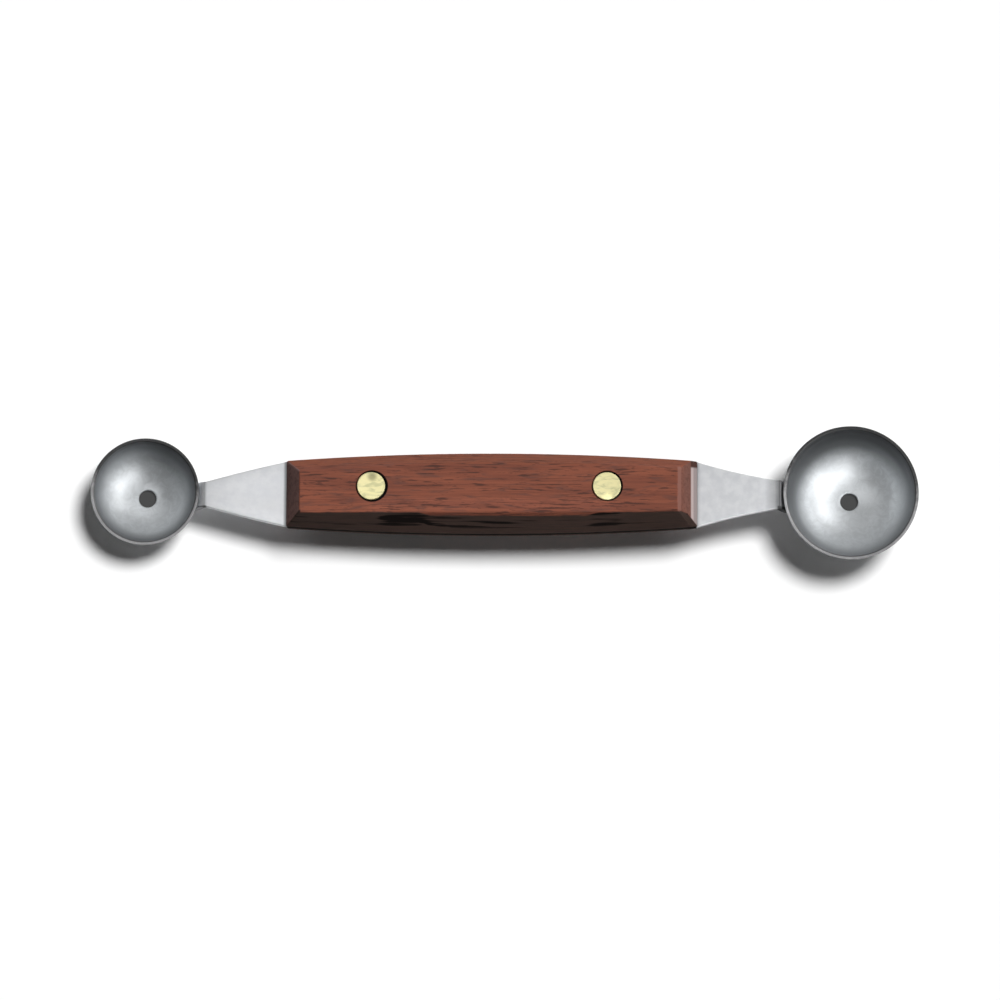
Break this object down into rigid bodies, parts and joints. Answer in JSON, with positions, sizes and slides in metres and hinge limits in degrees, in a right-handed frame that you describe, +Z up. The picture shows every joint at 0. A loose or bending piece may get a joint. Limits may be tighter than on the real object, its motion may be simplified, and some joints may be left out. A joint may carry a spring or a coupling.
{
  "type": "melon baller",
  "caption": "Double-ended melon baller: a small and a large pressed steel cup on a flat steel strip, with riveted wooden handle scales.",
  "frame": {"origin": "the middle of the object's box, on the surface that both cups stand on", "axes": "+Z up, out of the cups' mouths; +X along the tool, from the small cup to the large cup"},
  "size_m": [0.1974, 0.0322, 0.02],
  "materials": {
    "strip_steel": "fine satin, polished along its length",
    "cup_steel": "satin, pressed and tumbled, soft cloudy reflections",
    "handle_wood": "oiled rosewood with fine dark pores along the grain",
    "rivet_brass": "ground flush, faint scratches"
  },
  "bodies": {
    "root": {"tang_plate": "strip_steel", "upper_scale": "handle_wood", "lower_scale": "handle_wood", "small_cup": "cup_steel", "large_cup": "cup_steel", "left_rivet_post": "rivet_brass", "left_rivet_socket": "rivet_brass", "right_rivet_post": "rivet_brass", "right_rivet_socket": "rivet_brass"}
  },
  "joints": []
}
